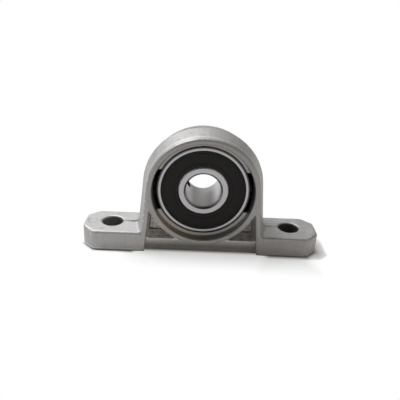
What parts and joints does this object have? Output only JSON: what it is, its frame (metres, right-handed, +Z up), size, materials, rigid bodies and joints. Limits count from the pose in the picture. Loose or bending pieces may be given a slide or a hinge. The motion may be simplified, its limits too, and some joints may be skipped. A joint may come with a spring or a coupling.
{
  "type": "pillow block bearing",
  "caption": "Small self-aligning pillow block bearing: a cast housing with two bolt feet and a spherical seat holding a sealed ball bearing insert with a plain bore and set screws.",
  "frame": {"origin": "on the mounting plane, midway between the two bolt holes", "axes": "+X along the feet, +Y along the shaft towards the long end of the inner ring, +Z up from the mounting plane"},
  "size_m": [0.055, 0.0134, 0.0288],
  "materials": {
    "housing_casting": "satin",
    "ring_steel": "satin",
    "ball_steel": "polished",
    "cage_steel": "satin",
    "rivet_steel": "satin",
    "seal_rubber": "matte",
    "core_steel": "satin",
    "screw_steel": "satin"
  },
  "bodies": {
    "housing": {"housing": "housing_casting"},
    "insert": {"outer_ring": "ring_steel", "front_seal_rubber": "seal_rubber", "front_seal_core": "core_steel", "rear_seal_rubber": "seal_rubber", "rear_seal_core": "core_steel"},
    "inner_ring": {"inner_ring": "ring_steel"},
    "cage": {"cage_front": "cage_steel", "cage_rear": "cage_steel", "cage_rivet_1": "rivet_steel", "cage_rivet_2": "rivet_steel", "cage_rivet_3": "rivet_steel", "cage_rivet_4": "rivet_steel", "cage_rivet_5": "rivet_steel", "cage_rivet_6": "rivet_steel", "cage_rivet_7": "rivet_steel"},
    "ball_1": {"ball_1": "ball_steel"},
    "ball_2": {"ball_2": "ball_steel"},
    "ball_3": {"ball_3": "ball_steel"},
    "ball_4": {"ball_4": "ball_steel"},
    "ball_5": {"ball_5": "ball_steel"},
    "ball_6": {"ball_6": "ball_steel"},
    "ball_7": {"ball_7": "ball_steel"},
    "set_screw_1": {"set_screw_1": "screw_steel"},
    "set_screw_2": {"set_screw_2": "screw_steel"}
  },
  "joints": [
    {"name": "insert_tilt", "type": "hinge", "parent": "housing", "child": "insert", "pos_m": [0, 0, 0.015], "axis": [1, 0, 0], "range_deg": [-5, 5]},
    {"name": "inner_ring_spin", "type": "hinge", "parent": "insert", "child": "inner_ring", "pos_m": [0, 0, 0.015], "axis": [0, 1, 0], "continuous": true},
    {"name": "cage_spin", "type": "hinge", "parent": "insert", "child": "cage", "pos_m": [0, 0, 0.015], "axis": [0, 1, 0], "continuous": true},
    {"name": "ball_1_spin", "type": "hinge", "parent": "cage", "child": "ball_1", "pos_m": [0, 0, 0.0225], "axis": [0, 1, 0], "continuous": true},
    {"name": "ball_2_spin", "type": "hinge", "parent": "cage", "child": "ball_2", "pos_m": [-0.00586, 0, 0.01968], "axis": [0, 1, 0], "continuous": true},
    {"name": "ball_3_spin", "type": "hinge", "parent": "cage", "child": "ball_3", "pos_m": [-0.00731, 0, 0.01333], "axis": [0, 1, 0], "continuous": true},
    {"name": "ball_4_spin", "type": "hinge", "parent": "cage", "child": "ball_4", "pos_m": [-0.00325, 0, 0.00824], "axis": [0, 1, 0], "continuous": true},
    {"name": "ball_5_spin", "type": "hinge", "parent": "cage", "child": "ball_5", "pos_m": [0.00325, 0, 0.00824], "axis": [0, 1, 0], "continuous": true},
    {"name": "ball_6_spin", "type": "hinge", "parent": "cage", "child": "ball_6", "pos_m": [0.00731, 0, 0.01333], "axis": [0, 1, 0], "continuous": true},
    {"name": "ball_7_spin", "type": "hinge", "parent": "cage", "child": "ball_7", "pos_m": [0.00586, 0, 0.01968], "axis": [0, 1, 0], "continuous": true},
    {"name": "set_screw_1_drive", "type": "slide", "parent": "inner_ring", "child": "set_screw_1", "axis": [0.1219, 0, 0.9925], "range_m": [-0.00025, 0.001]},
    {"name": "set_screw_2_drive", "type": "slide", "parent": "inner_ring", "child": "set_screw_2", "axis": [-0.9205, 0, -0.3907], "range_m": [-0.00025, 0.001]}
  ],
  "couplings": [
    {"joint": "cage_spin", "follows": "inner_ring_spin", "ratio": 0.3677},
    {"joint": "ball_1_spin", "follows": "inner_ring_spin", "ratio": -1.7573},
    {"joint": "ball_2_spin", "follows": "inner_ring_spin", "ratio": -1.7573},
    {"joint": "ball_3_spin", "follows": "inner_ring_spin", "ratio": -1.7573},
    {"joint": "ball_4_spin", "follows": "inner_ring_spin", "ratio": -1.7573},
    {"joint": "ball_5_spin", "follows": "inner_ring_spin", "ratio": -1.7573},
    {"joint": "ball_6_spin", "follows": "inner_ring_spin", "ratio": -1.7573},
    {"joint": "ball_7_spin", "follows": "inner_ring_spin", "ratio": -1.7573}
  ]
}
